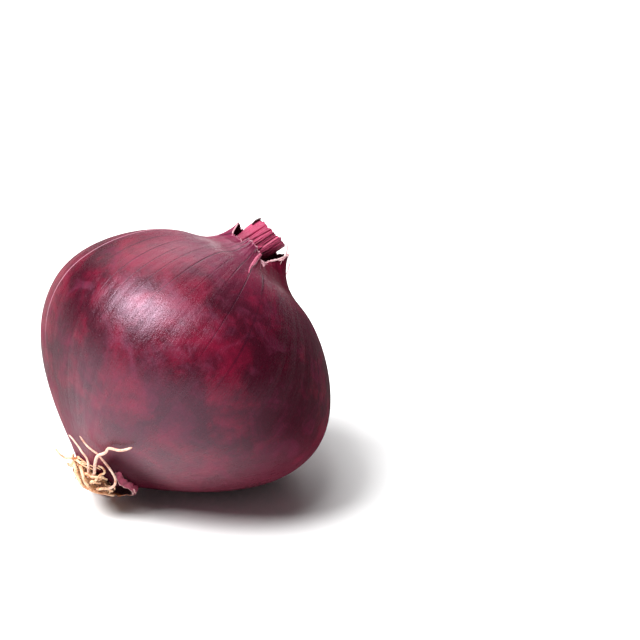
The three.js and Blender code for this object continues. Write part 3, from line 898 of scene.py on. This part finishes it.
# Roots. Each has its radius, the share of it left at the tip, and its route in the crown's frame.
frontRoots = [
    # a long one out to the side, with a dip in it
    (0.36, 0.6, [(-5.0, -3.2, -1.2), (-6.7, -3.6, -0.2), (-8.2, -3.9, -0.8), (-9.3, -2.9, -1.4),
                 (-11.3, -2.7, -1.2), (-12.9, -1.8, -0.6)]),
    # two long ones that lie up over the bulb
    (0.36, 0.55, [(-1.2, -5.8, -2.4), (-2.0, -8.0, -1.1), (-3.0, -9.3, 0.3), (-4.4, -9.6, 1.3),
                  (-6.6, -9.4, 2.2), (-9.2, -8.7, 3.3), (-11.8, -7.8, 4)]),
    (0.38, 0.6, [(4.2, -5.6, -2.6), (5.6, -8.0, -1.3), (5.7, -9.9, -0.2), (4.6, -11.3, 1.2),
                 (2.1, -12.2, 2.3), (-0.5, -13.2, 3.1), (-2.7, -13.9, 3.6), (-6.1, -13.6, 3.9),
                 (-9.1, -13.8, 5)]),
    # a thick one, which stands off over the bulb
    (0.45, 0.8, [(-0.2, -6.2, -2.0), (-0.4, -8.6, -0.6), (-1.4, -11.4, 0.8), (-2.2, -15.4, 2.9),
                 (-0.9, -17.2, 4.8), (-0.6, -19, 6.2), (2.0, -20.8, 7.2), (4.2, -23.6, 9.4)]),
    # short curled ones on the face of the plate
    (0.34, 0.7, [(0.8, -6.0, -2.9), (0.9, -9.6, -1.9), (1.2, -10.3, -0.6), (1.8, -10.9, 0.6),
                 (0.9, -12.2, 1.3), (-0.6, -12.9, 1.2)]),
    (0.38, 0.7, [(-3.0, -5.4, -2.4), (-2.2, -7.4, -2.1), (-0.2, -8.6, -1.9), (1.8, -8.6, -0.6),
                 (3.6, -7.6, -0.3)]),
    (0.4, 0.7, [(0.2, -5.4, -3.2), (0.3, -7.9, -2.9), (1.5, -8.4, -2.5), (2.6, -8.3, -2.0)]),
    (0.6, 0.7, [(-5.6, -1.6, -1.2), (-6.6, -3.2, -1.2), (-5.4, -4.8, -2.3), (-3.7, -5.2, -3.7),
                (-1.8, -5.1, -4.9)]),
    (0.5, 0.7, [(-4.0, -4.4, -1.4), (-4.2, -6.6, -1.4), (-2.8, -7.4, -2.7), (-1.3, -7.0, -3.9),
                (0.3, -6.4, -4.6)]),
    (0.42, 0.7, [(2.6, -4.8, -3.6), (2.8, -6.9, -3.6), (3.4, -7.9, -3.1), (4.9, -7.0, -2.2),
                 (6.3, -5.3, -1.9)]),
    # one that runs along under the plate to the flap
    (0.46, 0.7, [(-2.4, -2.8, -4.2), (-1.4, -3.2, -4.9), (0.8, -4.0, -4.8), (3.2, -4.3, -4.3),
                 (5.2, -3.6, -3.4), (7.3, -1.8, -2.4)]),
]
rootForm = {
    "paleOnes": (1, 2, 3),  # places in frontRoots of those that lie over the bulb
    "backRoots": 4, "backStart": 104, "backSpread": 36,  # degrees about the axis
    "backReach": 2.2, "backCurl": 12, "backRadius": 0.45, "backTip": 0.6,
    "backDrop": 1.4, "backFall": 0.6, "backWave": 0.3,
    "rows": 110, "sides": 14, "knob": 0.07, "wiggle": 0.96, "seed": 60,
}
rootletForm = {
    "radius": 0.28, "rows": 30, "sides": 8, "seed": 71,
    # those on the plate: degrees about the axis, distance from it and height of the face they leave
    "count": 60, "from": -200, "to": -5, "inner": 2.4, "outer": 6.4, "face": -1.2, "dome": 2.6,
    "lean": (-1.0, 0.3), "combing": 0.45,  # they comb over towards +x
    "reach": 3.0, "curl": (1.2, 3.4), "wave": 0.12,
    # those along the edge of the root end: where they start and how far they run, in degrees
    "edgeCount": 7, "edgeStart": (-215, -150), "edgeRun": (35, 75), "edgeRadius": 7.3,
    "edgeFoot": (-0.6, 0.3), "edgeRise": (0.2, 1.4),
}
rootLook = {
    "straw": (srgb(250, 214, 176), srgb(204, 128, 82)), "pale": (srgb(246, 212, 192), srgb(218, 150, 124)),
    "patchSize": 1.6, "speckDepth": 0.25, "roughness": 0.6,
}


def backRoute(form, i):
    # leaves the plate's edge, spreads and curls: radius and angle grow with s and s^2, and the
    # height falls with s and a small sine
    s = np.linspace(0, 1, 4)
    reach = form["backReach"] * (1 + 0.3 * math.sin(2.4 * i))
    curl = math.radians(form["backCurl"]) * math.sin(2.6 * i + 0.5)
    radius = plateForm["radius"] + 0.3 + (reach + 0.6) * s
    start = form["backStart"] + i * form["backSpread"] / (form["backRoots"] - 1)
    angle = math.radians(start) + 0.5 * curl * s**2
    drop = form["backDrop"] + form["backFall"] * s + form["backWave"] * np.sin(3 * s + i)
    return np.stack([radius * np.cos(angle), radius * np.sin(angle), -drop], -1)


def rootMaterial(name, look, shades):
    # the root colour in two shades, with its specks raised
    graph = Graph(name)
    colour, speck = rootColour(graph, *shades, look["patchSize"])
    return graph.finish(graph.surface(colour, look["roughness"], graph.bump(speck, look["speckDepth"])))


def makeRoots(form, straw, pale):
    # a knobbly tube along each smoothed route, with wiggles of three sines, sin(phase + n s) / n
    routes = list(frontRoots)
    for i in range(form["backRoots"]):
        routes.append((form["backRadius"], form["backTip"], backRoute(form, i)))
    share = np.linspace(0, 1, form["rows"])
    for number, (radius, tipShare, route) in enumerate(routes):
        rng = np.random.default_rng(form["seed"] + number)
        waves = [np.sin(rng.uniform(0, anyPhase) + n * share) / n for n in (11, 19, 31)]
        wiggle = form["wiggle"] * np.stack(waves, -1) * smooth(0, 0.2, share)[:, None]
        line = smoothLine(route, form["rows"]) + wiggle
        wide = knobbly(share, radius, tipShare, form["knob"], rng)
        grid = place(tubeGrid(line[None], wide[None], form["sides"]), crown=True)
        finish = pale if number in form["paleOnes"] else straw
        adopt(meshFromGrid(f"rootStrand{number + 1}", grid), finish, "roots", f"root_{number + 1:02d}")


def tangle(form, s, rng):
    # rootlets on the upper side of the plate. Each is a circle's arc that leaves along its heading,
    # (sin(c s) / c, (1 - cos(c s)) / c) with the curl c, and waves a little out of its plane.
    count = form["count"]
    angle = np.radians(rng.uniform(form["from"], form["to"], count))
    out = rng.uniform(form["inner"], form["outer"], count)
    height = form["face"] - form["dome"] * (1 - out / form["outer"])
    foot = np.stack([out * np.cos(angle), out * np.sin(angle), height], -1)
    lean = rng.uniform(*form["lean"], count)
    heading = np.stack([0.5 * np.cos(angle) + form["combing"], np.sin(angle), lean], -1)
    sideways = unit(np.cross(heading, rng.normal(0, 1, (count, 3))))
    upward = np.cross(unit(heading), sideways)
    curl = rng.uniform(*form["curl"], (count, 1, 1))
    reach = form["reach"] * rng.uniform(0.5, 1, (count, 1, 1))
    ahead, aside = np.sin(curl * s) / curl, (1 - np.cos(curl * s)) / curl
    sweep = ahead * unit(heading)[:, None] + aside * sideways[:, None]
    lines = foot[:, None] + reach * (sweep + form["wave"] * np.sin(9 * s + curl) * upward[:, None] * s)
    taper = 1 - 0.55 * s[..., 0] ** 2
    return lines, form["radius"] * taper * rng.uniform(0.6, 1.25, (count, 1))


def edging(form, s, rng):
    # rootlets that lie along the edge of the root end, each rising a little as it goes round
    count, s = form["edgeCount"], s[..., 0]
    turn = rng.uniform(*form["edgeStart"], (count, 1)) + rng.uniform(*form["edgeRun"], (count, 1)) * s
    turn = np.radians(turn)
    climb = rng.uniform(*form["edgeFoot"], (count, 1)) + rng.uniform(*form["edgeRise"], (count, 1)) * s
    rise = climb + 0.2 * np.sin(8 * s)
    around = form["edgeRadius"] + 0.8 * np.clip(rise, 0, None) + rng.uniform(0, 0.5, (count, 1))
    lines = np.stack([around * np.cos(turn), around * np.sin(turn), rise], -1)
    return lines, form["radius"] * (1 - 0.5 * s**2) * rng.uniform(0.8, 1.2, (count, 1))


def makeRootlets(form, finish):
    # both kinds of rootlet as one piece of thin tubes
    rng = np.random.default_rng(form["seed"])
    s = np.linspace(0, 1, form["rows"])[None, :, None]
    tangleLines, tangleRadius = tangle(form, s, rng)
    edgeLines, edgeRadius = edging(form, s, rng)
    lines = np.concatenate([tangleLines, edgeLines])
    radius = np.concatenate([tangleRadius, edgeRadius])
    grid = place(tubeGrid(lines, radius, form["sides"]), crown=True)
    adopt(meshFromGrid("rootlets", grid), finish, "roots")


straw = rootMaterial("straw root", rootLook, rootLook["straw"])
makeRoots(rootForm, straw, rootMaterial("pale root", rootLook, rootLook["pale"]))
makeRootlets(rootletForm, straw)
print("roots made")

# Camera, lights, floor and world
view = {
    "azimuth": -40, "elevation": 27,  # the eye's direction from the onion, in degrees
    "distance": 0.9, "lens": 188.0, "nearest": 0.01, "farthest": 50,
    "aimRight": 0.0358, "aimUp": 0.0110,  # the frame's middle from the ring's middle
}
# a lamp's direction from the bulb is given as right, up and towards the eye
lamps = {
    "key": {"direction": (-0.49, 0.62, 0.50), "energy": 5.8, "width": 34},  # width in degrees
    "top": {"direction": (-0.1, 1.0, -0.45), "distance": 1.1, "size": 1.0, "power": 6},
    "front": {"direction": (-0.1, 0.72, 0.6), "distance": 1.0, "size": 0.4, "power": 4.6},
}
studio = {
    "floorHalf": 6.0, "floorLevel": -0.0001,  # in metres, just under the part
    "paint": ((0.82, 0.82, 0.82, 1), (0.86, 0.86, 0.86, 1)), "paintPatch": 180, "paintRoughness": 0.7,
    "world": (1, 1, 1, 1), "worldStrength": 0.12,
}
ringMiddle = np.array(lie["ring"]) * millimetre


def eyeAxes(settings):
    # right, up and back towards the eye, with back = (sin a cos e, -cos a cos e, sin e)
    a, e = math.radians(settings["azimuth"]), math.radians(settings["elevation"])
    back = np.array([math.sin(a) * math.cos(e), -math.cos(a) * math.cos(e), math.sin(e)])
    right = np.array([math.cos(a), math.sin(a), 0])
    return right, np.cross(back, right), back


right, up, back = eyeAxes(view)


def makeCamera(settings):
    # the lens points at the aim, and the view's upright stays as it is at the ring
    spot = ringMiddle + settings["distance"] * back
    aim = ringMiddle + settings["aimRight"] * right + settings["aimUp"] * up
    camera = bpy.data.objects.new("camera", bpy.data.cameras.new("camera"))
    camera.data.lens = settings["lens"]
    camera.data.clip_start, camera.data.clip_end = settings["nearest"], settings["farthest"]
    camera.location = spot
    z = unit(spot - aim)
    x = unit(np.cross(up, z))
    turn = np.stack([x, np.cross(z, x), z], -1)
    camera.rotation_euler = Matrix(turn.tolist()).to_euler()
    bpy.context.scene.collection.objects.link(camera)
    bpy.context.scene.camera = camera


def addLamp(name, data, direction):
    # a lamp turned to shine from its direction towards the bulb
    towards = unit(direction[0] * right + direction[1] * up + direction[2] * back)
    lamp = bpy.data.objects.new(name, data)
    lamp.rotation_euler = Vector(towards).to_track_quat("Z", "Y").to_euler()
    bpy.context.scene.collection.objects.link(lamp)
    return lamp, towards


def makeSun(name, settings):
    # a far lamp; its width sets how soft the shadow is
    data = bpy.data.lights.new(name, "SUN")
    data.energy, data.angle = settings["energy"], math.radians(settings["width"])
    addLamp(name, data, settings["direction"])


def makePanel(name, settings):
    # a square panel that stands off from the ring's middle
    data = bpy.data.lights.new(name, "AREA")
    data.size, data.energy = settings["size"], settings["power"]
    lamp, towards = addLamp(name, data, settings["direction"])
    lamp.location = ringMiddle + towards * settings["distance"]


def makeFloor(settings):
    # one pale square just under the part
    size, level = settings["floorHalf"], settings["floorLevel"]
    corners = [(-size, -size, level), (size, -size, level), (size, size, level), (-size, size, level)]
    mesh = bpy.data.meshes.new("floor")
    mesh.from_pydata(corners, [], [(0, 1, 2, 3)])
    floor = bpy.data.objects.new("floor", mesh)
    bpy.context.scene.collection.objects.link(floor)
    graph = Graph("floor paint")
    colour = graph.mix(graph.noise(graph.millimetres(), settings["paintPatch"], 2), *settings["paint"])
    mesh.materials.append(graph.finish(graph.surface(colour, settings["paintRoughness"], None)))


def makeWorld(settings):
    # an even white surround that fills the shadows a little
    world = bpy.data.worlds.new("studio")
    world.use_nodes = True
    background = world.node_tree.nodes["Background"].inputs
    background["Color"].default_value = settings["world"]
    background["Strength"].default_value = settings["worldStrength"]
    bpy.context.scene.world = world
    bpy.context.scene.view_settings.view_transform = "Standard"


makeCamera(view)
makeSun("key", lamps["key"])
makePanel("top", lamps["top"])
makePanel("front", lamps["front"])
makeFloor(studio)
makeWorld(studio)
print("camera, lights, floor and world made")
